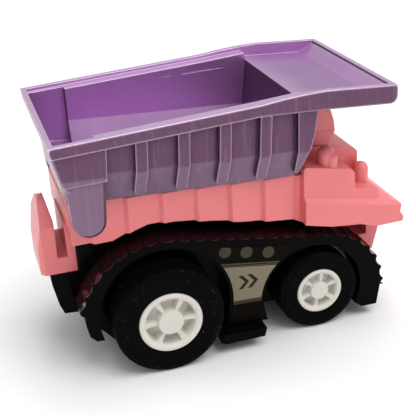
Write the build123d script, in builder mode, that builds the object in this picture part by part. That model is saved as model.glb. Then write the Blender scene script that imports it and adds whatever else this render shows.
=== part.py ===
# Toy mining dump truck: tipping bed, four wheels on two axles, pull-back spring motor.
# Millimetres. +X is forward, +Y is left, +Z is up, the ground is Z = 0.
from build123d import *
import math
import os

os.makedirs("parts", exist_ok=True)

# ------------------------------------------------------------------ driving sizes
rear_x = -18.0           # rear axle, from the middle of the truck's length
wheelbase = 40.7
rear_r, front_r = 13.6, 10.65          # tyre radii, so also the axle heights
rear_hub_r, front_hub_r = 7.85, 6.05
rear_face, front_face = 23.0, 17.85    # outer face of each hub, from the middle plane
rear_tyre_w, front_tyre_w = 10.2, 8.0
axle_r = 1.0

side_half = 17.0         # the chassis side panels
belt_in = 9.8            # inner edge of the tread belts
rear_arch_r, front_arch_r = 16.45, 13.35
rear_well, front_well = 11.6, 8.8      # inner walls of the wheel wells

bed_half = 23.6          # the bed's rim
trough_half, trough_low = 20.0, 16.8   # bed walls at the rim, and at the floor
bend_h = 7.6             # the walls lean in below this height above the bed's floor
bed_wall = 1.5
floor_z = 44.8           # underside of the bed above the rear axle
rake = 2.42              # the bed's floor falls towards the front, degrees
rib_pitch, rib_w = 9.67, 2.8
rib_out = 1.6            # how far the ribs stand out of the walls

pivot_x, pivot_z = -16.3, 42.5         # tipping axis
lug_in, lug_out = 17.4, 21.8
pin_r = 1.0

skirt_half = 16.2
shell_wall = 1.4
fender_half = 18.2
fender_fall = 10.5       # the lower fender's top falls towards the front, degrees
cab_half, hood_half = 8.6, 9.3
screw_x, screw_gap = 9.4, (45, 10)     # middle of the four shell screws, and their spacing
base_screw_x, base_screw_gap = 27.6, 11

module = 0.5             # motor gears
pinion_n, wheel_n = 10, 24
case_half = 7.6

# ------------------------------------------------------------------ clearances
run = 0.05               # radial, a shaft that turns in a bore
backlash = 0.24          # along the pitch circle, per pair of gears

# ------------------------------------------------------------------ derived
front_x = wheelbase
rear_arch = (0.44, rear_r + 0.05)
front_arch = (front_x - 1.6, front_r - 0.35)
mesh = module * (pinion_n + wheel_n) / 2
transfer_a, winder_a = 30.0, -20.0     # directions of the two meshes, degrees
axle_at = (0, rear_r)
transfer_at = (mesh * math.cos(math.radians(transfer_a)),
               rear_r + mesh * math.sin(math.radians(transfer_a)))
winder_at = (transfer_at[0] + mesh * math.cos(math.radians(winder_a)),
             transfer_at[1] + mesh * math.sin(math.radians(winder_a)))
pin_at, arbor_r = 0.75, 1.2


def side(y):
    """Side-view plane at y: local x runs forward from the rear axle, local y is height."""
    return Plane(origin=(rear_x, y, 0), x_dir=(1, 0, 0), z_dir=(0, -1, 0))


def top(z):
    """Plan-view plane at height z, local x again from the rear axle."""
    return Plane(origin=(rear_x, 0, z))


def nose(x):
    """Front-view plane at x from the rear axle: local x is left, local y is height."""
    return Plane(origin=(rear_x + x, 0, 0), x_dir=(0, 1, 0), z_dir=(1, 0, 0))


def bed_side(y):
    """Side-view plane of the raked bed, its local x along the bed's floor."""
    a = math.radians(rake)
    return Plane(origin=(rear_x, y, floor_z), x_dir=(math.cos(a), 0, -math.sin(a)),
                 z_dir=(0, -1, 0))


def section(x, z, fall):
    """Cross-section plane through (x, z), facing forward and down by `fall` degrees."""
    a = math.radians(fall)
    return Plane(origin=(rear_x + x, 0, z), x_dir=(0, 1, 0),
                 z_dir=(math.cos(a), 0, -math.sin(a)))


def bed_section(s):
    """Cross-section plane of the raked bed, s forward of the rear axle."""
    a = math.radians(rake)
    return section(s * math.cos(a), floor_z - s * math.sin(a), rake)


def trough(low, wide, bottom, bend):
    """Bed cross-section: upright walls that lean in below the bend."""
    Polygon((-low, bottom), (low, bottom), (wide, bend), (wide, 30), (-wide, 30),
            (-wide, bend), align=None)


def spur(n, at, phase):
    """Spur gear outline around `at`, with one tooth pointing along `phase`."""
    r = module * n / 2
    root, tip = r - 1.25 * module, r + 0.8 * module
    half = module * math.pi / 4 - backlash / 4
    with Locations(at):
        Circle(root)
        with PolarLocations(0, n, start_angle=phase):
            Polygon((root - 0.2, -1.4 * half), (r, -half), (tip, -0.5 * half),
                    (tip, 0.5 * half), (r, half), (root - 0.2, 1.4 * half), align=None)


# ------------------------------------------------------------------ dump bed
with BuildPart() as bed_ribs:
    with BuildSketch(bed_side(0)):
        with Locations((1.5 * rib_pitch - 4.1, 0)):
            with GridLocations(rib_pitch, 0, 4, 1):
                with Locations((0, 9.9)):
                    Rectangle(rib_w, 15.4)
                with Locations((0, 2.3)):
                    Circle(rib_w / 2)
    extrude(amount=bed_half, both=True)
    with BuildSketch(side(0)):
        Polygon((33.3, 62), (38.5, 62), (37.4, 54.6), (35.7, 49.0), (34.5, 45.3),
                (33.9, 44.7), (33.3, 45.4), align=None)
    extrude(amount=bed_half, both=True)
    with BuildSketch(bed_section(-30)):
        trough(trough_low + rib_out, trough_half + rib_out, 0.4, bend_h + 0.4)
    extrude(amount=80, mode=Mode.INTERSECT)
    # their tops end inside the rim band
    with BuildSketch(side(0)):
        Polygon((-30, 36), (45, 36), (45, 63.6), (24, 62.9), (-30, 59.6), align=None)
    extrude(amount=bed_half, both=True, mode=Mode.INTERSECT)

with BuildPart() as bed_lugs:
    with BuildSketch(side(0)):
        with BuildLine():
            Polyline((-12.6, 42.6), (-11.5, 58), (-23.0, 58), (-21.6, 51.7), (-20.7, 50.8),
                     (-20.2, 42.6))
            ThreePointArc((-20.2, 42.6), (-16.4, 38.7), (-12.6, 42.6))
        make_face()
    extrude(amount=lug_out, both=True)
    with BuildSketch(side(0)):
        Polygon((-11.8, 52.0), (-11.3, 60), (-23.4, 60), (-21.5, 51.7), align=None)
    extrude(amount=lug_out + 0.5, both=True)
    with BuildSketch(side(0)):
        Polygon((-25, 36), (0, 36), (0, 62), (-25, 62), align=None)
    extrude(amount=lug_in, both=True, mode=Mode.SUBTRACT)
    lug_toe = bed_lugs.edges().filter_by_position(Axis.Z, 38, 43).filter_by(GeomType.CIRCLE)
    chamfer(lug_toe.group_by(Axis.Y)[0] + lug_toe.group_by(Axis.Y)[-1], length=0.8)

with BuildPart() as bed_cavity:
    with BuildSketch(bed_section(-30)):
        trough(trough_low - 1.2, trough_half - 1.6, bed_wall, bend_h + 0.3)
    extrude(amount=80)
    with BuildSketch(side(0)):
        Polygon((-13.5, 40), (32.3, 40), (33.8, 53.5), (34.9, 63.0), (34.9, 75),
                (-13.5, 75), align=None)
    extrude(amount=bed_half, both=True, mode=Mode.INTERSECT)

with BuildPart() as dump_bed:
    with BuildSketch(bed_section(-30)):
        trough(trough_low, trough_half, 0, bend_h)
    extrude(amount=80)
    with BuildSketch(side(0)):
        Polygon((-20.5, 40), (33.9, 40), (33.9, 43.6), (35.7, 49.0), (37.4, 54.6),
                (38.5, 62), (-23.6, 60), (-21.6, 51.7), (-20.7, 50.8), align=None)
    extrude(amount=bed_half, both=True, mode=Mode.INTERSECT)
    add(bed_ribs.part)
    add(bed_lugs.part)
    # rim band and canopy
    with BuildSketch(side(0)):
        with BuildLine():
            Line((-23.9, 61.7), (24, 64.6))
            ThreePointArc((24, 64.6), (32, 65.5), (40, 65.8))
            Polyline((40, 65.8), (57.2, 64.8), (57.2, 62.2))
            ThreePointArc((57.2, 62.2), (56.6, 60.9), (55.2, 60.5))
            Polyline((55.2, 60.5), (38.2, 61.4), (24, 61.9), (-23.6, 59.1), (-23.9, 61.7))
        make_face()
    extrude(amount=bed_half, both=True)
    # ledge inside the rim, hopper, rear bay, canopy tray
    with BuildSketch(side(0)):
        Polygon((-22.6, 61.0), (24, 63.9), (36.5, 64.9), (36.5, 75), (-22.6, 75), align=None)
    extrude(amount=bed_half - 1.7, both=True, mode=Mode.SUBTRACT)
    add(bed_cavity.part, mode=Mode.SUBTRACT)
    with BuildSketch(side(0)):
        Polygon((-22.6, 75), (-22.6, 61.0), (-20.2, 51.6), (-19.3, 47.6), (-13.4, 47.2),
                (-13.4, 75), align=None)
    extrude(amount=lug_out - 1.2, both=True, mode=Mode.SUBTRACT)
    with BuildSketch(side(0)):
        Polygon((33.9, 75), (34.9, 63.1), (51.8, 62.2), (55.9, 64.2), (55.9, 75), align=None)
    extrude(amount=bed_half - 1.6, both=True, mode=Mode.SUBTRACT)
    for y in (-lug_in, lug_in + 2.4):
        with BuildSketch(side(y)):
            with Locations((pivot_x, pivot_z)):
                Circle(pin_r + run)
        extrude(amount=2.4, mode=Mode.SUBTRACT)
dump_bed.part.label = "dump_bed"
export_step(dump_bed.part, "parts/dump_bed.step")

with BuildPart() as hinge_pins:
    for y in (-13.0, lug_in + 2.0):
        with BuildSketch(side(y)):
            with Locations((pivot_x, pivot_z)):
                Circle(pin_r)
        extrude(amount=lug_in + 2.0 - 13.0)
hinge_pins.part.label = "hinge_pins"
export_step(hinge_pins.part, "parts/hinge_pins.step")

# ------------------------------------------------------------------ body shell
pleat = 8.42
pleat_x = [-23.54 + pleat * k for k in range(8)]
with BuildPart() as body_shell:
    # pleated skirt
    with BuildSketch(top(20)):
        near = [(x, -skirt_half) for x in pleat_x]
        far = [(x + 0.9 * pleat, -skirt_half + 1.0) for x in pleat_x]
        hem = [p for pair in zip(near, far) for p in pair]
        hem = [p for p in hem if p[0] < 37] + [(37, -skirt_half + 0.8)]
        Polygon(*hem, *[(x, -y) for x, y in reversed(hem)], align=None)
    extrude(amount=30)
    with BuildSketch(side(0)):
        Polygon((-20.3, 34.7), (-10.8, 34.2), (-5.6, 36), (-2.2, 36.8), (4, 36.5), (12.9, 35),
                (21.5, 33.1), (35.5, 30.9), (37, 29.8), (37, 42.85), (-17.6, 45.1),
                (-20.3, 42.1), align=None)
    extrude(amount=20, both=True, mode=Mode.INTERSECT)
    # upper fender block, its step, lower fender with a waisted front
    with BuildSketch(side(0)):
        Polygon((36.6, 32), (36.6, 44.6), (37.4, 45.0), (49.3, 42.7), (50.2, 41.6),
                (50.4, 37.3), (56.6, 36.4), (57.1, 31), align=None)
    extrude(amount=side_half, both=True)
    with BuildSketch(section(36.7, 37.2, fender_fall)):
        Polygon((-fender_half, -20), (fender_half, -20), (fender_half, -1.3), (side_half, 0),
                (-side_half, 0), (-fender_half, -1.3), align=None)
    lower = extrude(amount=30, mode=Mode.PRIVATE)
    with BuildSketch(side(0)):
        Polygon((36.7, 30.2), (36.7, 37.2), (57.1, 33.3), (61.0, 32.4), (62.8, 31.5),
                (62.5, 29.2), (63.5, 27.9), (63.4, 26.6), (55.9, 26.4), (51.5, 27.8),
                (44, 28.5), align=None)
    lower_deck = extrude(amount=fender_half, both=True, mode=Mode.PRIVATE)
    add(lower_deck & lower)
    # cab, window band, hood
    with BuildSketch(side(0)):
        Polygon((39.6, 40), (39.6, 57.4), (41.2, 58.4), (44.6, 58.2), (47.4, 55.4),
                (48.2, 52.8), (48.6, 50.0), (46.9, 47.2), (47.2, 40), align=None)
    extrude(amount=cab_half, both=True)
    with BuildSketch(side(0)):
        Polygon((40.6, 50.5), (40.6, 56.6), (44.5, 56.9), (46.7, 55.0), (47.6, 52.3),
                (47.9, 50.1), align=None)
    extrude(amount=cab_half + 0.3, both=True)
    with BuildSketch(side(0)):
        Polygon((39.0, 36), (39.0, 47.2), (46.6, 46.5), (53.4, 45.0), (54.5, 43.9),
                (54.7, 36), align=None)
    extrude(amount=hood_half, both=True)
    # radiator
    with BuildSketch(side(0)):
        Polygon((54.6, 30), (54.6, 15.2), (59.6, 15.2), (61.4, 22.5), (61.6, 30), align=None)
    extrude(amount=belt_in - 0.4, both=True)
    with BuildSketch(nose(58)):
        with Locations((0, 20.6)):
            with GridLocations(0, 2.2, 1, 4):
                Rectangle(14, 1.0)
    extrude(amount=6, mode=Mode.SUBTRACT)
    # rear towing bracket
    with BuildSketch(top(20)):
        Polygon((-18.6, -8), (-18.6, 8), (-26.4, 8), (-27.4, 6.8), (-27.4, -6.8), (-26.4, -8),
                align=None)
    hook = extrude(amount=24, mode=Mode.PRIVATE)
    with BuildSketch(nose(-30)):
        Polygon((-8, 24.2), (8, 24.2), (8, 36.8), (2.4, 41.5), (0, 42.2), (-2.4, 41.5),
                (-8, 36.8), align=None)
    hook_face = extrude(amount=14, mode=Mode.PRIVATE)
    with BuildSketch(side(0)):
        Polygon((-18.6, 24), (-18.6, 37), (-22.9, 37), (-23.9, 41.4), (-24.5, 42.2),
                (-25.2, 42.2), (-25.8, 41.4), (-26.4, 37), (-27.4, 30.5), (-27.4, 24),
                align=None)
    hook_side = extrude(amount=8, both=True, mode=Mode.PRIVATE)
    add(hook & hook_face & hook_side)
    # inside of the shell
    with BuildSketch(side(0)):
        Polygon((-18.6, 20), (-18.6, 41.4), (-16.6, 43.5), (36, 41.4), (48.2, 39.4),
                (48.2, 20), align=None)
    extrude(amount=skirt_half - 1.0 - shell_wall, both=True, mode=Mode.SUBTRACT)
    with BuildSketch(side(0)):
        Polygon((38.2, 20), (38.2, 34.2), (48.9, 34.2), (55.2, 33), (55.4, 29.4), (60.6, 29),
                (60.4, 20), align=None)
    extrude(amount=side_half - 0.9, both=True, mode=Mode.SUBTRACT)
    with BuildSketch(side(0)):
        Polygon((41, 38), (41, 54), (46, 54), (46, 43.4), (52.8, 42.6), (52.8, 30), (41, 30),
                align=None)
    extrude(amount=cab_half - 1.6, both=True, mode=Mode.SUBTRACT)
    # radiator block again, now that the inside is hollow
    with BuildSketch(side(0)):
        Polygon((57.6, 30), (57.6, 15.2), (59.6, 15.2), (61.4, 22.5), (61.6, 30), align=None)
    extrude(amount=belt_in - 0.4, both=True)
    # slot of the bracket
    with BuildSketch(side(0)):
        Polygon((-23.1, 28.4), (-20.7, 28.4), (-20.7, 46), (-23.1, 46), align=None)
    extrude(amount=12, both=True, mode=Mode.SUBTRACT)
    # lamps on the fenders and on the steps
    for y in (-1, 1):
        for x, off, base, r, high in ((43.6, 14.0, 42.1, 2.2, 46.4), (44.6, 15.3, 42.2, 1.5, 45.6),
                                      (54.3, 11.7, 35.3, 1.95, 40.0)):
            with BuildSketch(side(y * off)):
                with BuildLine():
                    Line((x, base), (x + r, base))
                    Line((x + r, base), (x + r, high))
                    RadiusArc((x + r, high), (x + 0.4, high + 0.98 * r), -r)
                    Polyline((x + 0.4, high + 0.98 * r), (x, high + 0.98 * r), (x, base))
                make_face()
            revolve(axis=Axis((rear_x + x, y * off, 0), (0, 0, 1)))
    # bosses: four for the chassis screws, two for the hinge pins
    with BuildSketch(top(37)):
        with Locations((screw_x, 0)):
            with GridLocations(*screw_gap, 2, 2):
                Circle(2.2)
    extrude(until=Until.NEXT)
    with BuildSketch(top(36.9)):
        with Locations((screw_x, 0)):
            with GridLocations(*screw_gap, 2, 2):
                Circle(0.8)
    extrude(amount=4.6, mode=Mode.SUBTRACT)
    for y in (-12.6, skirt_half - 0.6):
        with BuildSketch(side(y)):
            with Locations((pivot_x, pivot_z - 0.2)):
                Rectangle(4.4, 4.2)
        extrude(amount=skirt_half - 0.6 - 12.6)
    for y in (0, 20):
        with BuildSketch(side(y)):
            with Locations((pivot_x, pivot_z)):
                Circle(pin_r)
        extrude(amount=20, mode=Mode.SUBTRACT)
body_shell.part.label = "body_shell"
export_step(body_shell.part, "parts/body_shell.step")

# ------------------------------------------------------------------ chassis
tread_at, tread_r = (0.2, 10.9), 21.0  # rear curve of the tread
tread_top = 81.1                       # where its straight run leaves the curve, degrees
nose_x, nose_r = front_x + 1.26, 16.4  # front curve, set so that the run is tangent to both
nose_at = (nose_x, tread_at[1] + (tread_r - nose_r - (nose_x - tread_at[0])
                                  * math.cos(math.radians(tread_top)))
           / math.sin(math.radians(tread_top)))
ridge_pitch, ridge_high = 3.78, 0.75   # grousers across the tread


def ridges(at, r, first, step, n):
    """Grousers across a curve of the tread, `step` degrees apart."""
    with Locations(at):
        with PolarLocations(r, n, start_angle=first, angular_range=step * n):
            Polygon((-0.6, -0.9), (-0.6, 0.9), (0, 0.9), (ridge_high, 0.2),
                    (ridge_high, -0.2), (0, -0.9), align=None)


with BuildPart() as chassis:
    # side belts: outer run of the tread, closed along the bottom
    with BuildSketch(side(0)):
        with BuildLine():
            rear_run = CenterArc(tread_at, tread_r, tread_top, 80)
            front_run = CenterArc(nose_at, nose_r, 0, tread_top)
            straight = Line(rear_run @ 0, front_run @ 1)
            Polyline(front_run @ 0, (nose_x + 15.44, 2.8), (nose_x + 11.24, 2.8),
                     (nose_x + 8.44, 5.0), (-12, 5.0), (-15.3, 8.8), (-17.2, 8.9),
                     (-18.7, 10.4), (-19.3, 13.2), rear_run @ 1)
        make_face()
    extrude(amount=side_half, both=True)
    with BuildSketch(side(0)):
        ridges(tread_at, tread_r, 90.5, 10.25, 8)
        ridges(nose_at, nose_r, 3.4, 12.6, 7)
        run_n = 1 + int((straight.length - 0.69) / ridge_pitch)
        run_mid = straight @ ((0.69 + ridge_pitch * (run_n - 1) / 2) / straight.length)
        with Locations(Location((run_mid.X, run_mid.Y), tread_top - 90)):
            with GridLocations(ridge_pitch, 0, run_n, 1):
                Polygon((-0.9, -0.6), (0.9, -0.6), (0.9, 0), (0.2, ridge_high),
                        (-0.2, ridge_high), (-0.9, 0), align=None)
    extrude(amount=side_half, both=True)
    # middle of the truck: riser under the shell, rear block; the nose stays open
    with BuildSketch(side(0)):
        Polygon((-18.4, 20), (-18.4, 37), (34.5, 37), (34.5, 30.5), (47, 27), (47, 20),
                align=None)
    extrude(amount=belt_in, both=True)
    with BuildSketch(side(0)):
        Polygon((-25.4, 23.9), (-25.2, 21.2), (-24.1, 15.6), (-23.1, 13.0), (-16, 12.4),
                (-16, 23.9), align=None)
    extrude(amount=8, both=True)
    with BuildSketch(side(0)):
        Polygon((47.4, 40), (47.4, 14), (53.6, 12.2), (70, 12.2), (70, 40), align=None)
    extrude(amount=belt_in, both=True, mode=Mode.SUBTRACT)
    # wheel wells
    for (x, z), r, inner in ((rear_arch, rear_arch_r, rear_well),
                             (front_arch, front_arch_r, front_well)):
        for y in (20, -inner):
            with BuildSketch(side(y)):
                with Locations((x, z)):
                    Circle(r)
            extrude(amount=20 - inner, mode=Mode.SUBTRACT)
    # motor room, front hollow, screw shafts, axle bores
    with BuildSketch(side(0)):
        Polygon((-9.5, 0), (-9.5, 27.2), (25.8, 27.2), (25.8, 0), align=None)
    extrude(amount=case_half + 0.6, both=True, mode=Mode.SUBTRACT)
    with BuildSketch(side(0)):
        Polygon((34.6, 0), (34.6, 22), (46, 22), (46, 0), align=None)
    extrude(amount=front_well - 2.2, both=True, mode=Mode.SUBTRACT)
    with BuildSketch(top(0)):
        with Locations((screw_x, 0)):
            with GridLocations(*screw_gap, 2, 2):
                Circle(2.0)
    extrude(amount=34.6, mode=Mode.SUBTRACT)
    with BuildSketch(top(30)):
        with Locations((screw_x, 0)):
            with GridLocations(*screw_gap, 2, 2):
                Circle(1.1)
    extrude(amount=10, mode=Mode.SUBTRACT)
    with BuildSketch(side(0)):
        with Locations((0, rear_r)):
            Circle(axle_r + 0.3)
    extrude(amount=30, both=True, mode=Mode.SUBTRACT)
    with BuildSketch(side(0)):
        with Locations((front_x, front_r)):
            Circle(axle_r + run)
    extrude(amount=30, both=True, mode=Mode.SUBTRACT)
    with BuildSketch(top(0)):
        with Locations((base_screw_x, 0)):
            with GridLocations(0, base_screw_gap, 1, 2):
                Circle(0.7)
    extrude(amount=11, mode=Mode.SUBTRACT)
    # step boards
    for y in (side_half + 4.0, 1.2 - side_half):
        with BuildSketch(side(y)):
            Polygon((12.9, 3.4), (13.6, 5.4), (25.0, 5.2), (24.4, 2.9), (14.2, 2.9), align=None)
        extrude(amount=5.2)
chassis.part.label = "chassis"
export_step(chassis.part, "parts/chassis.step")

head_r, head_high = 1.5, 0.8             # base screws, sunk flush into the plate
with BuildPart() as base_plate:
    with BuildSketch(top(3.5)):
        with Locations((9.3, 0)):
            RectangleRounded(40.4, 2 * front_well - 1.2, 1.5)
    extrude(amount=1.5)
    with BuildSketch(top(5.0)):
        with Locations((8.2, 0)):
            with GridLocations(24, 8, 2, 2):
                Rectangle(6, 1.2)
    extrude(amount=1.0)
    with BuildSketch(top(0)):
        with Locations((base_screw_x, 0)):
            with GridLocations(0, base_screw_gap, 1, 2):
                Circle(0.9)
    extrude(amount=10, mode=Mode.SUBTRACT)
    with BuildSketch(top(3.5)):
        with Locations((base_screw_x, 0)):
            with GridLocations(0, base_screw_gap, 1, 2):
                Circle(head_r + 0.2)
    extrude(amount=head_high, mode=Mode.SUBTRACT)
base_plate.part.label = "base_plate"
export_step(base_plate.part, "parts/base_plate.step")

with BuildPart() as shell_screws:
    with BuildSketch(top(32.9)):
        with Locations((screw_x, 0)):
            with GridLocations(*screw_gap, 2, 2):
                Circle(1.7)
    extrude(amount=1.7)
    with BuildSketch(top(34.6)):
        with Locations((screw_x, 0)):
            with GridLocations(*screw_gap, 2, 2):
                Circle(0.8)
    extrude(amount=6.2)
shell_screws.part.label = "shell_screws"
export_step(shell_screws.part, "parts/shell_screws.step")

with BuildPart() as base_screws:
    with BuildSketch(top(3.5)):
        with Locations((base_screw_x, 0)):
            with GridLocations(0, base_screw_gap, 1, 2):
                Circle(head_r)
    extrude(amount=head_high)
    with BuildSketch(top(3.5 + head_high)):
        with Locations((base_screw_x, 0)):
            with GridLocations(0, base_screw_gap, 1, 2):
                Circle(0.7)
    extrude(amount=5.2)
base_screws.part.label = "base_screws"
export_step(base_screws.part, "parts/base_screws.step")

# ------------------------------------------------------------------ side labels
label_t = 0.15
with BuildPart() as right_label:
    with BuildSketch(side(-side_half)):
        Polygon((11.0, 28.4), (33.6, 25.2), (27.4, 5.9), (15.6, 5.9), align=None)
        with Locations(rear_arch):
            Circle(rear_arch_r + 0.8, mode=Mode.SUBTRACT)
        with Locations(front_arch):
            Circle(front_arch_r + 0.8, mode=Mode.SUBTRACT)
    extrude(amount=label_t)
right_label.part.label = "right_label"
export_step(right_label.part, "parts/right_label.step")

with BuildPart() as left_label:
    add(right_label.part.mirror(Plane.XZ))
left_label.part.label = "left_label"
export_step(left_label.part, "parts/left_label.step")

# ------------------------------------------------------------------ wheels and axles
for name, x, r, hub_r, face, tyre_w, first_pocket in (
        ("rear", 0, rear_r, rear_hub_r, rear_face, rear_tyre_w, 30),
        ("front", front_x, front_r, front_hub_r, front_face, front_tyre_w, 50)):
    inner = face - tyre_w
    for hand, sign in (("right", -1), ("left", 1)):
        # revolve around the wheel's own axis, local x is radius, local y is outwards
        wheel = Plane(origin=(rear_x + x, 0, r), x_dir=(1, 0, 0), z_dir=(0, 0, sign))
        axis = Axis((rear_x + x, 0, r), (0, 1, 0))
        with BuildPart() as tyre:
            with BuildSketch(wheel):
                with BuildLine():
                    Polyline((hub_r, inner), (r - 1.6, inner))
                    ThreePointArc((r - 1.6, inner), (r - 0.4, inner + 0.5), (r, inner + 1.7))
                    Line((r, inner + 1.7), (r, face - 1.4))
                    ThreePointArc((r, face - 1.4), (r - 0.2, face - 0.75), (r - 0.9, face - 0.4))
                    Polyline((r - 0.9, face - 0.4), (hub_r + 0.9, face - 0.1),
                             (hub_r, face - 0.4), (hub_r, face - tyre_w * 0.4),
                             (hub_r + 0.7, face - tyre_w * 0.45),
                             (hub_r + 0.7, face - tyre_w * 0.55), (hub_r, face - tyre_w * 0.6),
                             (hub_r, inner))
                make_face()
            revolve(axis=axis)
        tyre.part.label = f"{name}_{hand}_tyre"
        export_step(tyre.part, f"parts/{name}_{hand}_tyre.step")

        dish = 0.62 * hub_r
        with BuildPart() as hub:
            with BuildSketch(wheel):
                Polygon((0, inner + 0.4), (hub_r, inner + 0.4), (hub_r, face - tyre_w * 0.6),
                        (hub_r + 0.7, face - tyre_w * 0.55), (hub_r + 0.7, face - tyre_w * 0.45),
                        (hub_r, face - tyre_w * 0.4), (hub_r, face - 0.3),
                        (hub_r - 0.3, face), (0.84 * hub_r, face), (0.78 * hub_r, face - 0.9),
                        (0.46 * hub_r, face - 0.5), (0.40 * hub_r, face - 0.1),
                        (0, face - 0.1), align=None)
            revolve(axis=axis)
            with BuildSketch(side(sign * face)):
                with Locations((x, r)):
                    with PolarLocations(0, 6, start_angle=first_pocket):
                        with Locations((dish, 0)):
                            Trapezoid(0.34 * hub_r, 0.34 * hub_r, 74, rotation=90)
            extrude(amount=3.0 * sign, mode=Mode.SUBTRACT)
            with BuildSketch(side(sign * (inner - 1))):
                with Locations((x, r)):
                    Circle(axle_r)
            extrude(amount=-sign * (tyre_w - 2.0), mode=Mode.SUBTRACT)
            with BuildSketch(side(sign * (inner - 1))):
                with Locations((x, r)):
                    Circle(0.72 * hub_r)
                    Circle(2.4, mode=Mode.SUBTRACT)
            extrude(amount=-sign * (tyre_w - 4.5), mode=Mode.SUBTRACT)
        hub.part.label = f"{name}_{hand}_hub"
        export_step(hub.part, f"parts/{name}_{hand}_hub.step")

    with BuildPart() as axle:
        with BuildSketch(side(0)):
            with Locations((x, r)):
                Circle(axle_r)
        extrude(amount=face - 3.0, both=True)
    axle.part.label = f"{name}_axle"
    export_step(axle.part, f"parts/{name}_axle.step")

# ------------------------------------------------------------------ pull-back motor
case_x = (-6.6, 24.4)
case_z = (6.0, 26.6)
mid_x, mid_z = sum(case_x) / 2, sum(case_z) / 2
wide, high = case_x[1] - case_x[0], case_z[1] - case_z[0]
lid_y = case_half - 1.2
with BuildPart() as motor_case:
    with BuildSketch(side(lid_y)):
        with Locations((mid_x, mid_z)):
            RectangleRounded(wide, high, 2)
    extrude(amount=lid_y + case_half)
    with BuildSketch(side(lid_y)):
        with Locations((mid_x, mid_z)):
            RectangleRounded(wide - 2, high - 2, 1)
    extrude(amount=lid_y + case_half - 1.2, mode=Mode.SUBTRACT)
    with BuildSketch(side(-lid_y)):
        with Locations(transfer_at):
            Circle(1.6)
        with Locations(winder_at):
            Circle(2.2)
    extrude(amount=-0.6)
    with BuildSketch(side(0)):
        with Locations(axle_at):
            Circle(axle_r + run)
        with Locations(winder_at):
            Circle(arbor_r + run)
        with Locations(transfer_at):
            Circle(pin_at)
    extrude(amount=10, mode=Mode.SUBTRACT)
motor_case.part.label = "motor_case"
export_step(motor_case.part, "parts/motor_case.step")

with BuildPart() as motor_cover:
    with BuildSketch(side(case_half)):
        with Locations((mid_x, mid_z)):
            RectangleRounded(wide, high, 2)
        with Locations(axle_at):
            Circle(axle_r + run, mode=Mode.SUBTRACT)
        with Locations(winder_at):
            Circle(arbor_r + run, mode=Mode.SUBTRACT)
        with Locations(transfer_at):
            Circle(pin_at, mode=Mode.SUBTRACT)
    extrude(amount=case_half - lid_y)
motor_cover.part.label = "motor_cover"
export_step(motor_cover.part, "parts/motor_cover.step")

with BuildPart() as axle_pinion:
    with BuildSketch(side(-3.4)):
        spur(pinion_n, axle_at, transfer_a)
        with Locations(axle_at):
            Circle(axle_r, mode=Mode.SUBTRACT)
    extrude(amount=2.6)
axle_pinion.part.label = "axle_pinion"
export_step(axle_pinion.part, "parts/axle_pinion.step")

# a wheel's gap faces the tooth that drives it
half_tooth = 180 / wheel_n
with BuildPart() as transfer_gear:
    with BuildSketch(side(-3.9)):
        spur(wheel_n, transfer_at, transfer_a + 180 + half_tooth)
    extrude(amount=1.6)
    with BuildSketch(side(-1.0)):
        spur(pinion_n, transfer_at, winder_a)
    extrude(amount=2.9)
    with BuildSketch(side(0)):
        with Locations(transfer_at):
            Circle(pin_at + run)
    extrude(amount=10, both=True, mode=Mode.SUBTRACT)
transfer_gear.part.label = "transfer_gear"
export_step(transfer_gear.part, "parts/transfer_gear.step")

with BuildPart() as transfer_pin:
    with BuildSketch(side(case_half)):
        with Locations(transfer_at):
            Circle(pin_at)
    extrude(amount=2 * case_half)
transfer_pin.part.label = "transfer_pin"
export_step(transfer_pin.part, "parts/transfer_pin.step")

with BuildPart() as winder_gear:
    with BuildSketch(side(-1.4)):
        spur(wheel_n, winder_at, winder_a + 180 + half_tooth)
        with Locations(winder_at):
            Circle(arbor_r, mode=Mode.SUBTRACT)
    extrude(amount=1.6)
winder_gear.part.label = "winder_gear"
export_step(winder_gear.part, "parts/winder_gear.step")

with BuildPart() as spring_arbor:
    with BuildSketch(side(case_half)):
        with Locations(winder_at):
            Circle(arbor_r)
    extrude(amount=2 * case_half)
spring_arbor.part.label = "spring_arbor"
export_step(spring_arbor.part, "parts/spring_arbor.step")

# flat spiral spring: half turns of growing radius around the arbor
turns, strip = 5, 0.22
coil = [(arbor_r + strip / 2 + k * 0.4, (-1) ** k) for k in range(2 * turns)]
with BuildPart() as mainspring:
    with BuildSketch(side(5.2)):
        with BuildLine():
            x0, (cx, cz) = -coil[0][0], winder_at
            for r, up in coil:
                x1 = x0 + 2 * r * up
                ThreePointArc((cx + x0, cz), (cx + (x0 + x1) / 2, cz + r * up), (cx + x1, cz))
                x0 = x1
        trace(line_width=strip)
    extrude(amount=4.8)
mainspring.part.label = "mainspring"
export_step(mainspring.part, "parts/mainspring.step")
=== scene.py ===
# %% [markdown]
# # A toy mining dump truck, finished around its fixed frame
# The truck is a die-cast bed on a pink moulded shell and a glossy black chassis, with four
# rubber tyres on white hubs. Its solids come ready made, in metres, and never move. This lesson
# gives them the surfaces that a hand and an eye notice: rounded edges, tread, pockets, paint.

# %% Load the frame
import math
import bpy
import bmesh
import numpy as np
from mathutils import Matrix, Vector


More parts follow.
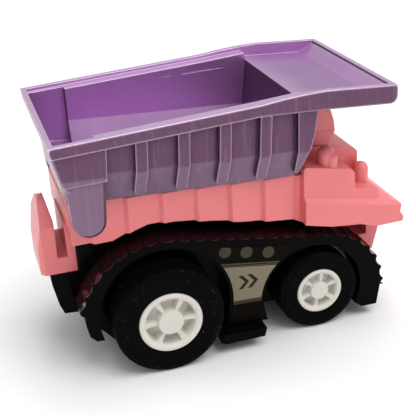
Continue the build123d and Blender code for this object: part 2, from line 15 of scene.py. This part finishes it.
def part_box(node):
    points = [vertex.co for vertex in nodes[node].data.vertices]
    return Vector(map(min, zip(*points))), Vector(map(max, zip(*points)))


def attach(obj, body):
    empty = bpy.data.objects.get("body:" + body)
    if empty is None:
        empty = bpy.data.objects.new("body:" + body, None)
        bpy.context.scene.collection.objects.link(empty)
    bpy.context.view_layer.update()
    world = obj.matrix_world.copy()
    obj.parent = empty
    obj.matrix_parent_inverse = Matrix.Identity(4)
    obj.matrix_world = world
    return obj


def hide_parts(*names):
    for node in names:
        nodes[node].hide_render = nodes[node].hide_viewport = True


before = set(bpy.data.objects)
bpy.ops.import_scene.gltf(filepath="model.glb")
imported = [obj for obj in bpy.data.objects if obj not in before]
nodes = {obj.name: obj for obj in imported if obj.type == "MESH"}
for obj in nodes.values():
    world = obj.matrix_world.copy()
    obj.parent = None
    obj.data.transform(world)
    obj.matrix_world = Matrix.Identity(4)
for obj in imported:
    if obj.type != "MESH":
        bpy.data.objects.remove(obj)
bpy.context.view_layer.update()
mm = 0.001

# %% [markdown]
# ## Shader maths that reads like arithmetic
# A pattern such as a printed line is a formula on the coordinates. Wiring one Math node at a time
# hides that formula, so a small class wraps a socket and turns `a * 2 + b` into Math nodes.
# Everything else comes from one method, which sets a node's settings first and its inputs next.

# %% A socket that does sums, and a finish that makes nodes


class Wire:
    """A node's output. Arithmetic on it adds Math nodes to the finish that it belongs to."""

    def __init__(self, finish, socket):
        self.finish, self.socket = finish, socket

    def maths(self, operation, *values, **settings):
        return self.finish.node("ShaderNodeMath", dict(operation=operation, **settings), *values)

    def __add__(self, other):
        return self.maths("ADD", self, other)

    def __sub__(self, other):
        return self.maths("SUBTRACT", self, other)

    def __rsub__(self, other):
        return self.maths("SUBTRACT", other, self)

    def __mul__(self, other):
        return self.maths("MULTIPLY", self, other)

    def __abs__(self):
        return self.maths("ABSOLUTE", self)

    def __pow__(self, power):
        return self.maths("POWER", self, power)

    __radd__, __rmul__ = __add__, __mul__

    def above(self, edge, blur):
        """0 below the edge, 1 above it, with a straight ramp `blur` wide between."""
        return self.maths("ADD", (self - edge) * (1 / blur), 0.5, use_clamp=True)


class Finish:
    """A material under construction: `node` adds a node, `surface` sets the shader's sockets."""

    def __init__(self, name):
        self.material = bpy.data.materials.new(name)
        self.material.use_nodes = True
        self.tree = self.material.node_tree
        self.shader = self.tree.nodes["Principled BSDF"]

    def feed(self, socket, value):
        if isinstance(value, Wire):
            self.tree.links.new(value.socket, socket)
        else:
            socket.default_value = value

    def node(self, kind, settings=None, *inputs, out=0, **named):
        made = self.tree.nodes.new(kind)
        for key, value in (settings or {}).items():
            setattr(made, key, value)
        for index, value in enumerate(inputs):
            self.feed(made.inputs[index], value)
        for key, value in named.items():
            self.feed(made.inputs[key.replace("_", " ")], value)
        return Wire(self, made.outputs[out])

    def place(self):
        """The piece's own coordinates, in metres."""
        return self.node("ShaderNodeTexCoord", out="Object")

    def split(self, vector):
        """The x, y and z of a vector, as three numbers."""
        apart = self.node("ShaderNodeSeparateXYZ", {}, vector)
        return [Wire(self, socket) for socket in apart.socket.node.outputs]

    def occlusion(self, distance_mm, inside=False):
        """1 where nothing is near, less where the surface, or its other side, is close."""
        return self.node("ShaderNodeAmbientOcclusion", {"inside": inside, "samples": 8},
                         Distance=distance_mm * mm, out="AO")

    def noise(self, scale, detail=2.0, **named):
        return self.node("ShaderNodeTexNoise", {}, Vector=self.place(), Scale=scale,
                         Detail=detail, **named)

    def mix(self, factor, first, second):
        made = self.tree.nodes.new("ShaderNodeMix")
        made.data_type = "RGBA"
        for index, value in ((0, factor), (6, first), (7, second)):
            self.feed(made.inputs[index], value)
        return Wire(self, made.outputs[2])

    def bump(self, height, distance, strength=1.0, soft_edge=0.0):
        """A bump over the surface's own normal, or over one softened near edges."""
        made = self.node("ShaderNodeBump", {}, Height=height, Distance=distance,
                         Strength=strength)
        if soft_edge:
            soft = self.node("ShaderNodeBevel", {"samples": 6}, Radius=soft_edge * mm)
            self.feed(made.socket.node.inputs["Normal"], soft)
        return made

    def surface(self, **named):
        for key, value in named.items():
            self.feed(self.shader.inputs[key.replace("_", " ")], value)
        return self.material


def ink(red, green, blue):
    """A screen colour from 0 to 255 as the linear colour that a shader wants."""
    c = np.array([red, green, blue]) / 255
    c = np.where(c <= 0.04045, c / 12.92, ((c + 0.055) / 1.055) ** 2.4)
    return (*map(float, c), 1.0)


print("maths and finish helpers ready")

# %% [markdown]
# ## Plum lacquer on the bed
# The bed is metallic lacquer over a bright casting, dark plum outside. The light from above, and
# the light that its walls throw on each other, are painted into the colour. One dark metal would
# leave the inside too dull, so the base colour follows
# the way a face points: up or inward gets a painted lit violet, outward stays plum. The leaning
# lower panels get a paler painted reflection of the floor, and the rim's tops a painted highlight.
# Ambient occlusion gives two masks. Seen from inside the metal it marks the edges, which are worn
# pale and also carry a painted highlight. Seen from outside it marks the corners, which get painted
# shade.

# %% Bed lacquer
BEND_FALL, BEND_TOP = 0.0423, 51.6       # the bend above the leaning panels falls forward
RIM_RISE, RIM_LOW = 0.0605, 61.9         # the rim rises forward; both in mm per mm, and mm


def plum_lacquer():
    f = Finish("plum_lacquer")
    cloud = f.noise(90.0, 3.0)
    skin = f.noise(2600.0, 2.0)
    specks = f.noise(5200.0, 1.0).above(0.70, 0.04)
    # Edge mask: the edges are worn pale, and the same mask also paints a highlight on them.
    edge = (1 - f.occlusion(0.7, inside=True)).above(0.33, 0.22)
    x, y, z = (part * 1000 for part in f.split(f.place()))
    _, faces_left, faces_up = f.split(f.node("ShaderNodeTexCoord", out="Normal"))
    # Painted light: faces that look up or inward are painted a lit violet further down, and outward
    # faces stay dark plum.
    up = faces_up.above(0.45, 0.2)
    inward = (y * faces_left * -1).above(3.0, 2.0)
    low = 1 - (z + x * BEND_FALL - BEND_TOP).above(0.0, 0.5)      # the leaning lower panels
    base = f.mix(cloud, ink(92, 60, 86), ink(108, 74, 102))
    # Painted reflection: the leaning lower panels are painted paler grey-lilac, as if they mirrored
    # the white floor.
    base = f.mix(low * 0.40, base, ink(150, 126, 150))
    base = f.mix(up + inward, base, f.mix(cloud, ink(188, 144, 198), ink(204, 160, 212)))
    brushed = f.node("ShaderNodeMapping", {}, Vector=f.place(), Scale=(1, 1, 0.07))
    brushed = f.node("ShaderNodeTexNoise", {}, Vector=brushed, Scale=900.0, Detail=3.0)
    base = f.mix(brushed.above(0.62, 0.18) * 0.14, base, ink(176, 140, 180))
    # Painted shade: occlusion darkens the corners, under the rim and beside the ribs, towards dark
    # plum.
    corner = (1 - f.occlusion(4.0)).above(0.30, 0.5)
    base = f.mix(corner * (1 - up) * (1 - inward) * 0.7, base, ink(52, 30, 50))
    # Painted highlight: the upward faces of the rim are painted pale lilac, as if lit from
    # overhead.
    rim = (z - x * RIM_RISE - RIM_LOW).above(0.0, 1.0)
    base = f.mix(rim * up * 0.75, base, ink(232, 204, 238))
    # Pale edges: part wear, part painted highlight, strongest at the rim and faint on inner faces.
    base = f.mix(edge * (0.35 + rim * 0.5) * (1 - inward * 0.9), base, ink(246, 214, 240))
    base = f.mix(specks * 0.25, base, ink(225, 190, 230))
    return f.surface(
        Base_Color=base, Metallic=0.80, Coat_Weight=0.25, Coat_Roughness=0.14,
        Roughness=0.24 + cloud * 0.08 + brushed * 0.12 - edge * 0.06,
        Normal=f.bump(skin * 0.5 + cloud + brushed * 0.8, 0.00005, 0.6, soft_edge=0.28))


plum = plum_lacquer()
print("lacquer", plum.name, "with", len(plum.node_tree.nodes), "nodes")

# %% [markdown]
# ## Moulded plastics
# The pink shell is a satin plastic that light enters a little way, with a soft mould texture. The
# black chassis is the same kind of plastic, polished by its mould on the tread and the tops and
# left dead black on its flanks. A clear coat does that, with a weight that falls on faces turned
# sideways. The tread's black is painted with a red cast on its tops, a painted reflection of the
# pink skirt that hangs over it.

# %% Plastics
def moulded(name, colour, shade, roughness, grain, depth, soft_edge=0.0, **more):
    """A moulded plastic: two close tones, a fine grain, and slight changes of gloss."""
    f = Finish(name)
    cloud = f.noise(70.0, 2.0)
    skin = f.noise(grain, 3.0)
    return f.surface(
        Base_Color=f.mix(cloud, colour, shade), Roughness=roughness + (cloud - 0.5) * 0.12,
        Normal=f.bump(skin, depth, 0.5, soft_edge), **more)


def polished(name, dark, light, gloss):
    """Black under a clear coat, but dead black on the faces that look sideways."""
    f = Finish(name)
    _, faces_left, _ = f.split(f.node("ShaderNodeTexCoord", out="Normal"))
    flank = abs(faces_left).above(0.6, 0.2)
    skin = f.noise(500.0, 2.0)
    colour = f.mix(flank, f.mix(skin, dark, light), ink(4, 4, 4))
    return f.surface(Base_Color=colour, Roughness=0.20,
                     Specular_IOR_Level=0.04, Coat_Weight=(1 - flank) * gloss,
                     Coat_Roughness=0.07, Coat_IOR=1.7, Normal=f.bump(skin, 0.00003, 0.4))


pink = moulded("pink_moulding", ink(238, 128, 130), ink(232, 120, 124), 0.38, 1400.0,
               0.00003, 0.45, Subsurface_Weight=0.12, Subsurface_Radius=(1.0, 0.4, 0.3),
               Subsurface_Scale=0.001, Coat_Weight=0.15, Coat_Roughness=0.25)
black = moulded("black_gloss", ink(4, 4, 5), ink(7, 6, 6), 0.26, 260.0, 0.00006, 0.25,
                Specular_IOR_Level=0.04)
# Painted reflection: the belt's dark red tones stand for the pink skirt mirrored in the glossy
# tread.
belt = polished("belt_gloss", ink(40, 17, 21), ink(60, 27, 32), 0.9)
chassis_black = polished("chassis_gloss", ink(5, 5, 5), ink(9, 8, 8), 0.3)
white = moulded("hub_white", ink(222, 219, 211), ink(214, 210, 200), 0.36, 1800.0, 0.00003,
                Subsurface_Weight=0.1, Subsurface_Radius=(0.6, 0.6, 0.5),
                Subsurface_Scale=0.001)
cream = moulded("gear_nylon", ink(232, 226, 205), ink(220, 212, 188), 0.42, 1500.0, 0.00002)
grey = moulded("motor_grey", ink(88, 90, 95), ink(76, 78, 84), 0.45, 1200.0, 0.00003)
print("plastics", [m.name for m in (pink, black, belt, chassis_black, white, cream, grey)])

# %% [markdown]
# ## Rubber and steel
# Rubber is nearly black and dull, with dust caught in its grain. Steel pins are bright and drawn
# along their length, and the spring is blued.

# %% Rubber and steel
def rubber():
    f = Finish("tyre_rubber")
    grain = f.noise(1500.0, 4.0)
    dust = f.noise(1300.0, 3.0).above(0.70, 0.10)
    return f.surface(
        Base_Color=f.mix(dust * 0.40, ink(5, 5, 5), ink(84, 82, 76)),
        Roughness=0.55 + grain * 0.22, Specular_IOR_Level=0.04, Normal=f.bump(grain, 0.00008, 0.7))


def drawn_steel(name, colour, roughness):
    f = Finish(name)
    at = f.node("ShaderNodeMapping", {}, Vector=f.place(), Scale=(1, 0.05, 1))
    lines = f.node("ShaderNodeTexNoise", {}, Vector=at, Scale=3000.0, Detail=2.0)
    return f.surface(Base_Color=colour, Metallic=1.0, Roughness=roughness + lines * 0.15,
                     Normal=f.bump(lines, 0.00002, 0.4))


tyre_rubber = rubber()
steel = drawn_steel("pin_steel", ink(196, 194, 190), 0.22)
blued = drawn_steel("spring_steel", ink(110, 112, 124), 0.28)
print("rubber and steel ready")

# %% [markdown]
# ## The printed side label
# A foil label covers the panel between the wheels: a black band with three grey rivets, olive
# pinstripes, a grey field and a brown-black foot. Each stripe is a straight line in side view, so
# its mask is the height above that line. A plain pair of chevrons stands in the field.

# %% Label print
REAR_AXLE_X = -18.0


def printed_label():
    f = Finish("label_print")
    x, _, z = f.split(f.place())
    x, z = x * 1000 - REAR_AXLE_X, z * 1000
    upper = z - (x * -0.142 + 25.47)            # height above the upper pinstripes
    lower = z - (x * -0.033 + 12.55)            # height above the lower ones
    dark, olive, field = ink(15, 12, 8), ink(84, 78, 60), ink(122, 116, 98)
    sheen = f.noise(60.0, 2.0)
    in_field = (1 - upper.above(-0.95, 0.12)) * lower.above(0.35, 0.12)
    stripes = 0.0
    for height, half in ((upper + 0.1, 0.16), (upper + 0.62, 0.13),
                         (lower - 0.05, 0.13), (lower + 0.45, 0.13)):
        stripes = (1 - abs(height).above(half, 0.10)) + stripes
    rivets = 0.0
    for at_x, at_z in ((15.9, 26.5), (21.4, 25.4), (27.1, 24.3)):
        away = (x - at_x) ** 2 + (z - at_z) ** 2
        rivets = (1 - away.above(1.55 ** 2, 0.5)) + rivets
    slant = x + abs(z - 17.3) * 0.9
    first, second = (1 - abs(slant - at_x).above(0.55, 0.12) for at_x in (21.3, 23.7))
    badge = (first + second) * (1 - abs(z - 17.3).above(1.9, 0.12))
    colour = f.mix(in_field, dark, f.mix(sheen, field, ink(134, 127, 108)))
    colour = f.mix(stripes, colour, olive)
    colour = f.mix(rivets, colour, ink(70, 66, 52))
    colour = f.mix(badge, colour, ink(46, 38, 30))
    return f.surface(Base_Color=colour, Metallic=in_field * 0.35, Roughness=0.34 + sheen * 0.10,
                     Specular_IOR_Level=0.03, Normal=f.bump(stripes + rivets, 0.00002, 0.3))


label_print = printed_label()
print("label print ready")

# %% [markdown]
# ## Rounding the castings and mouldings
# Nothing moulded has a knife edge. The solids arrive as loose triangles, so a copy has its doubles
# merged and its flat faces joined. A Bevel modifier limited by weight then rounds the long sharp
# edges. Where an edge meets a very short one the bevel would fold over itself, so it has no
# weight there. A shallow crease between two flats stays crisp. The original stays where it is for
# the simulation, and the copy stands for it.

# %% Rounded copies of the frame's solids


FLAT, CREASE, SHARP = (math.radians(turn) for turn in (0.8, 3, 28))
CORNER_ROOM = 2.4                        # shortest edge at a bevelled corner, in bevel radii
WIDE_FACE = 1.2 * mm


def rounded(node, name, radius, finish, body):
    """A copy of a node, its doubles merged, its flats dissolved and its edges rounded."""
    mesh = nodes[node].data.copy()
    shape = bmesh.new()
    shape.from_mesh(mesh)
    bmesh.ops.remove_doubles(shape, verts=shape.verts, dist=0.002 * mm)
    bmesh.ops.dissolve_degenerate(shape, edges=shape.edges, dist=0.004 * mm)
    bmesh.ops.dissolve_limit(shape, angle_limit=FLAT, verts=shape.verts, edges=shape.edges)
    for face in shape.faces:
        face.smooth = True
    weight = shape.edges.layers.float.new("bevel_weight_edge")
    short = {v for e in shape.edges if e.calc_length() < CORNER_ROOM * radius * mm
             for v in e.verts}
    chosen = [e for e in shape.edges if e.is_manifold and not short & set(e.verts)
              and e.calc_face_angle(0) > SHARP]
    for edge in chosen:
        edge[weight] = 1.0
    for edge in shape.edges:           # smooth round a curve, sharp at a crease between flats
        wide = [face.calc_area() / edge.calc_length() for face in edge.link_faces]
        turned = edge.is_manifold and edge.calc_face_angle(0)
        edge.smooth = not (turned > SHARP or turned > CREASE and min(wide) > WIDE_FACE)
    shape.to_mesh(mesh)
    shape.free()
    mesh.materials.clear()
    mesh.materials.append(finish)
    piece = bpy.data.objects.new(name, mesh)
    bpy.context.scene.collection.objects.link(piece)
    bevel = piece.modifiers.new("round", "BEVEL")
    bevel.width, bevel.segments = radius * mm, 3
    bevel.limit_method = "WEIGHT"
    weigh = piece.modifiers.new("flats stay flat", "WEIGHTED_NORMAL")
    weigh.mode, weigh.weight, weigh.keep_sharp = "FACE_AREA", 60, True
    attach(piece, body)
    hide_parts(node)
    print(name, len(mesh.vertices), "corners,", len(chosen), "edges rounded")


rounded("dump_bed", "bed_casting", 0.32, plum, "bed")
rounded("body_shell", "shell_moulding", 0.35, pink, "truck")
rounded("chassis", "chassis_moulding", 0.22, chassis_black, "truck")

# %% [markdown]
# ## Surfaces from arrays
# A turned part is a profile carried round a circle, and a tread is a profile carried along a
# curve. Both are grids of points, worked out as whole arrays and joined by the same rule.

# %% A grid of points made into a piece


def grid_piece(name, points, finish, body, stands_for=(), ends=False):
    """Rows x columns of points, wrapped along the columns, and along the rows unless `ends`.

    Quads join point (i, j) to (i, j + 1), (i + 1, j + 1) and (i + 1, j). With `ends`, the first
    and last rows are closed by one face each. Points that fall together, as at a pole, are merged.
    """
    rows, columns = points.shape[:2]
    i = np.arange(rows - 1 if ends else rows)[:, None]
    j = np.arange(columns)[None, :]
    i2, j2 = (i + 1) % rows, (j + 1) % columns
    quads = np.stack(np.broadcast_arrays(i * columns + j, i * columns + j2,
                                         i2 * columns + j2, i2 * columns + j), -1)
    faces = quads.reshape(-1, 4).tolist()
    if ends:
        faces += [list(range(columns)), list(range((rows - 1) * columns, rows * columns))]
    mesh = bpy.data.meshes.new(name)
    mesh.from_pydata((points.reshape(-1, 3) * mm).tolist(), [], faces)
    shape = bmesh.new()
    shape.from_mesh(mesh)
    bmesh.ops.remove_doubles(shape, verts=shape.verts, dist=0.0005 * mm)
    bmesh.ops.recalc_face_normals(shape, faces=shape.faces)
    for face in shape.faces:
        face.smooth = True
    shape.to_mesh(mesh)
    shape.free()
    mesh.set_sharp_from_angle(angle=math.radians(48))
    mesh.materials.append(finish)
    piece = bpy.data.objects.new(name, mesh)
    bpy.context.scene.collection.objects.link(piece)
    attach(piece, body)
    if stands_for:
        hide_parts(*stands_for)
    print(name, rows, "x", columns, "points")
    return piece


def bend(x, y, radius, start, stop, steps=7):
    """Points on an arc about (x, y), from one angle in degrees to another."""
    a = np.radians(np.linspace(start, stop, steps))
    return np.stack([x + radius * np.cos(a), y + radius * np.sin(a)], -1)


def smooth(low, high, value):
    """0 below `low`, 1 above `high`, and 3t^2 - 2t^3 between."""
    t = np.clip((value - low) / (high - low), 0, 1)
    return t * t * (3 - 2 * t)


# %% [markdown]
# ## Tyres
# Each tyre is one rubber ring, gripped by the hub. Its profile, in radius and distance outwards,
# has a small bead at the hub, a sidewall that swells a little, a fine ring moulded near the tread,
# a tight shoulder, and a tread with a seam line round its middle.

# %% Four tyres
AXLES = {"rear": ("rear_wheelset", 10.2), "front": ("front_wheelset", 8.0)}


def wheel_size(axle, side):
    """Axle centre, tyre radius, hub radius and outer face in mm, from the frame's own nodes."""
    low, high = (np.array(c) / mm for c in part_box(f"{axle}_{side}_tyre"))
    hub_low, hub_high = (np.array(c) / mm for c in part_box(f"{axle}_{side}_hub"))
    centre = ((low + high) / 2)[[0, 2]]
    radius = (high[2] - low[2]) / 2
    hub_radius = (hub_high[2] - hub_low[2]) / 2 - 0.7
    face = max(abs(hub_low[1]), abs(hub_high[1]))
    return centre, radius, hub_radius, face


def turn_profile(centre, sign, radius, out):
    """x = cx + r cos a, y = side * out, z = cz + r sin a, for arrays of radius and out."""
    steps = radius.shape[1]
    a = np.linspace(0, 2 * np.pi, steps, endpoint=False)[None, :]
    return np.stack([centre[0] + radius * np.cos(a), np.broadcast_to(sign * out, radius.shape),
                     centre[1] + radius * np.sin(a)], -1)


def tyre(axle, side, sign):
    body, width = AXLES[axle]
    centre, r, hub_r, face = wheel_size(axle, side)
    inner = face - width
    profile = np.concatenate([
        bend(hub_r + 0.45, face - 0.55, 0.45, 180, 90),                      # bead at the hub
        [(hub_r + 1.4, face - 0.05), (hub_r + 0.45 * (r - hub_r), face - 0.02)],
        bend(r - 1.45, face - 0.30, 0.16, 130, 20),                          # moulded ring
        bend(r - 0.95, face - 1.30, 0.95, 86, 0),                            # outer shoulder
        [(r, face - 0.5 * width + 0.15), (r - 0.06, face - 0.5 * width),
         (r, face - 0.5 * width - 0.15)],
        bend(r - 1.5, inner + 1.5, 1.5, 0, -90),                             # inner shoulder
        [(hub_r, inner), (hub_r, face - 0.55)]])
    steps = 160
    return grid_piece(f"{axle}_{side}_tyre_rubber",
                      turn_profile(centre, sign, np.repeat(profile[:, :1], steps, 1),
                                   profile[:, 1:]),
                      tyre_rubber, body, [f"{axle}_{side}_tyre"])


for axle in AXLES:
    for side, sign in (("right", -1), ("left", 1)):
        tyre(axle, side, sign)

# %% [markdown]
# ## Hubs
# The hub's face is a height field in polar form. A flat disc stands in the middle, a broad ring
# slopes in from the rim, and six pockets with sloping floors sink between the spokes. The field is
# a sum of smooth steps in radius and angle, so every moulded corner is soft.

# %% Four hubs
FIRST_POCKET = {"rear": 30.0, "front": 50.0}


def hub(axle, side, sign):
    """Depth below the face = disc step - ring slope + pocket(angle) * pocket(radius)."""
    body, width = AXLES[axle]
    centre, r, hub_r, face = wheel_size(axle, side)
    steps = 240
    share = np.concatenate([np.linspace(0, 0.36, 4), np.linspace(0.375, 1.0, 52)])[:, None]
    a = np.linspace(0, 360, steps, endpoint=False)[None, :]
    from_pocket = (a - FIRST_POCKET[axle] + 30) % 60 - 30
    depth = (0.06 + 0.80 * smooth(0.385, 0.425, share) - 0.86 * smooth(0.70, 0.90, share)
             + 0.30 * smooth(0.955, 1.0, share) ** 2)
    pocket = ((1 - smooth(19.0, 23.5, np.abs(from_pocket))) * smooth(0.39, 0.45, share)
              * (1 - smooth(0.74, 0.80, share)) * (0.9 + 1.9 * (share - 0.4)))
    depth = (depth + 1.75 * pocket) * hub_r / 7.85
    front_radius = np.repeat(share * hub_r, steps, 1)
    back = np.array([(hub_r, width - 0.9), (hub_r - 0.3, width - 0.6), (2.4, width - 0.6),
                     (2.2, width - 0.4), (0.0, width - 0.4)])
    radius = np.concatenate([front_radius, np.repeat(back[:, :1], steps, 1)])
    down = np.concatenate([depth, np.repeat(back[:, 1:], steps, 1)])
    points = turn_profile(centre, sign, radius, face - down)
    return grid_piece(f"{axle}_{side}_hub_moulding", points, white, body,
                      [f"{axle}_{side}_hub"])


for axle in AXLES:
    for side, sign in (("right", -1), ("left", 1)):
        hub(axle, side, sign)

# %% [markdown]
# ## Tread belts
# A crawler tread is moulded round each mudguard: sharp grousers with hollow pads between. The band
# is a profile carried along one curve, a rear arc, a straight run tangent to it and a front arc.
# The pad's height between two grousers is 1 - sin(pi t), which makes the hollows and the cusps.

# %% Two tread bands
REAR_CURVE, REAR_R = np.array([0.2, 10.9]), 21.0
NOSE_R = 16.4
TOP = 81.1                               # where the straight run leaves the rear curve, degrees
NOSE_CURVE = np.array([41.96, 9.017])
RUN_LENGTH, FIRST, PITCH = 41.55, 0.69, 3.78
REAR_END, REAR_FIRST, REAR_STEP = 161.1, 152.0, 10.25     # grousers on the arcs, in degrees
NOSE_FIRST, NOSE_STEP = 79.0, 12.6


def tread_path():
    """Points, outward normals and grouser phase along the band, one unit of phase per pad.

    With s measured along the run from the rear tangent point, the point is the rear centre plus
    R * normal for s < 0, start + s * direction on the run, and the nose centre plus R * normal
    past its end. On the arcs the normal turns by s / R.
    """
    rear = np.radians(np.concatenate([[REAR_END], REAR_FIRST - REAR_STEP * np.arange(7)]))
    nose = np.radians(NOSE_FIRST - NOSE_STEP * np.arange(7))
    along = np.array([np.cos(np.radians(TOP - 90)), np.sin(np.radians(TOP - 90))])
    start = REAR_CURVE + REAR_R * np.array([np.cos(np.radians(TOP)), np.sin(np.radians(TOP))])
    run = FIRST + PITCH * np.arange(11)
    top = np.radians(TOP)
    stations = np.concatenate([(top - rear) * REAR_R, run, RUN_LENGTH + (top - nose) * NOSE_R,
                               [RUN_LENGTH + top * NOSE_R + 0.5]])
    phase = np.arange(len(stations))
    fine = np.linspace(0, phase[-1], 14 * phase[-1] + 1)
    s = np.interp(fine, phase, stations)
    past = s > RUN_LENGTH
    turned = np.where(s < 0, top - s / REAR_R,
                      np.where(past, top - (s - RUN_LENGTH) / NOSE_R, top))[:, None]
    normal = np.concatenate([np.cos(turned), np.sin(turned)], 1)
    flat = start + np.clip(s, 0, RUN_LENGTH)[:, None] * along
    points = np.where(s[:, None] < 0, REAR_CURVE + REAR_R * normal,
                      np.where(past[:, None], NOSE_CURVE + NOSE_R * normal, flat))
    return points, normal, fine % 1.0


def tread_band(side, sign):
    """The band round one mudguard, from just outside its label in to the wall of the chassis."""
    low, high = (np.array(c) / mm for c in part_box(f"{side}_label"))
    outer, inner = min(abs(low[1]), abs(high[1])) + 0.06, 9.75
    points, normal, t = tread_path()
    pad = 0.06 + 0.80 * (1 - np.sin(np.pi * t)) ** 1.15
    corner = bend(0, 0, 0.30, 0, 90, 5)
    across = np.concatenate([[outer], outer - 0.30 + corner[:, 0], [inner, inner]])
    lift = np.concatenate([[0.0], corner[:, 1] - 0.30, [0.0, 0.0]])
    top_row = np.array([0] + [1] * 6 + [0])
    height = np.where(top_row, pad[:, None] + lift, -1.1)
    place = points[:, None, :] + normal[:, None, :] * height[..., None]
    y = np.broadcast_to(sign * across, height.shape)
    band = np.stack([place[..., 0] + REAR_AXLE_X, y, place[..., 1]], -1)
    grid_piece(f"{side}_tread_band", band, belt, "truck", ends=True)


tread_band("right", -1)
tread_band("left", 1)

# %% [markdown]
# ## Finishes on the parts that keep their own shape
# Pins, screws, axles, gears and the motor are the right shape already, so they only need a finish.

# %% Finishes for the carried parts
CARRIED = {steel: ("hinge_pins", "shell_screws", "base_screws", "rear_axle", "front_axle",
                   "transfer_pin", "spring_arbor"),
           blued: ("mainspring",), black: ("base_plate",), grey: ("motor_case", "motor_cover"),
           cream: ("axle_pinion", "transfer_gear", "winder_gear"),
           label_print: ("right_label", "left_label")}
for finish, names in CARRIED.items():
    for name in names:
        for holder in nodes[name].material_slots:
            holder.material = finish
print("carried", sum(len(names) for names in CARRIED.values()), "parts")

# %% [markdown]
# ## Lamps and floor
# A soft studio: one softbox overhead, a small one from the left that leaves glints on the treads,
# a wide sun as the ceiling panel that casts the soft shadow, and a pale floor.

# %% Studio


def hang(name, lamp, at, towards):
    """Put a lamp at a place, turned to shine in a direction."""
    holder = bpy.data.objects.new(name, lamp)
    bpy.context.scene.collection.objects.link(holder)
    holder.location = at
    holder.rotation_euler = Vector(towards).to_track_quat("-Z", "Y").to_euler()


def softbox(name, at, aim, size, power):
    """A round area lamp at a place, facing another."""
    lamp = bpy.data.lights.new(name, "AREA")
    lamp.shape, lamp.size, lamp.energy = "DISK", size, power
    hang(name, lamp, at, Vector(aim) - Vector(at))


def pale_floor(half):
    """A square of pale matt paper, twice half on a side, that the model stands on."""
    corners = np.array([(-1, -1, 0), (1, -1, 0), (1, 1, 0), (-1, 1, 0)]) * half
    mesh = bpy.data.meshes.new("floor")
    mesh.from_pydata(corners.tolist(), [], [(0, 1, 2, 3)])
    floor = bpy.data.objects.new("floor", mesh)
    bpy.context.scene.collection.objects.link(floor)
    f = Finish("floor_white")
    mesh.materials.append(f.surface(Base_Color=(0.90, 0.90, 0.90, 1), Roughness=0.7))


pale_floor(3.0)
middle = (0, 0, 0.03)
softbox("overhead", (0.05, 0.10, 0.55), middle, 0.22, 0.55)
softbox("left_glint", (-0.40, 0.20, 0.45), middle, 0.16, 0.10)
sun = bpy.data.lights.new("sky_panel", "SUN")
sun.energy, sun.angle = 1.7, math.radians(50)
hang("sky_panel", sun, (0, 0, 0), (-0.28, 0.30, -1.0))
print("lamps", [lamp.name for lamp in bpy.data.lights])

# %% [markdown]
# ## The room around it
# Lacquered metal shows whatever surrounds it, so the room is not one flat grey. It is dim at the
# height of the truck and bright overhead, which darkens the upright walls and lights the tops. From
# just over the horizon downwards it is bright again, to carry on the white of the floor. Each is a
# Map Range on the height of the direction, and the room is the brighter of the two.

# %% Room
world = bpy.data.worlds.new("studio")
bpy.context.scene.world = world
world.use_nodes = True
room, join = world.node_tree.nodes, world.node_tree.links.new
height = room.new("ShaderNodeSeparateXYZ")
join(room.new("ShaderNodeTexCoord").outputs["Generated"], height.inputs[0])
brighter = room.new("ShaderNodeMath")
brighter.operation = "MAXIMUM"
for slot, limits in enumerate(((0.0, 1.0, 0.16, 0.94), (0.10, 0.16, 1.0, 0.0))):
    band = room.new("ShaderNodeMapRange")
    for key, value in zip(("From Min", "From Max", "To Min", "To Max"), limits):
        band.inputs[key].default_value = value
    join(height.outputs["Z"], band.inputs["Value"])
    join(band.outputs[0], brighter.inputs[slot])
join(brighter.outputs[0], room["Background"].inputs["Strength"])
room["Background"].inputs["Color"].default_value = (0.97, 0.97, 0.97, 1)
bpy.context.scene.view_settings.view_transform = "Standard"
print("room nodes", len(room))

# %% [markdown]
# ## Camera
# The camera stands to the right and a little behind, looking down. Three unit vectors turn it:
# right, up and ahead, as the camera sees them. The focal length is given over the sensor's width.

# %% Camera
SENSOR, FOCAL = 36.0, 890.3 / 416
camera_data = bpy.data.cameras.new("camera")
camera_data.sensor_width, camera_data.lens = SENSOR, FOCAL * SENSOR
right, up, ahead = ((0.95146, -0.30452, -0.04455), (0.16706, 0.38948, 0.90576),
                    (0.25847, 0.86924, -0.42145))
stand = Vector((-59.92, -199.00, 127.25)) * mm
turn = Matrix((right, up, [-v for v in ahead])).transposed().to_4x4()
camera = bpy.data.objects.new("camera", camera_data)
bpy.context.scene.collection.objects.link(camera)
camera.matrix_world = Matrix.Translation(stand) @ turn
bpy.context.scene.camera = camera
print("camera at", [round(v, 4) for v in stand])
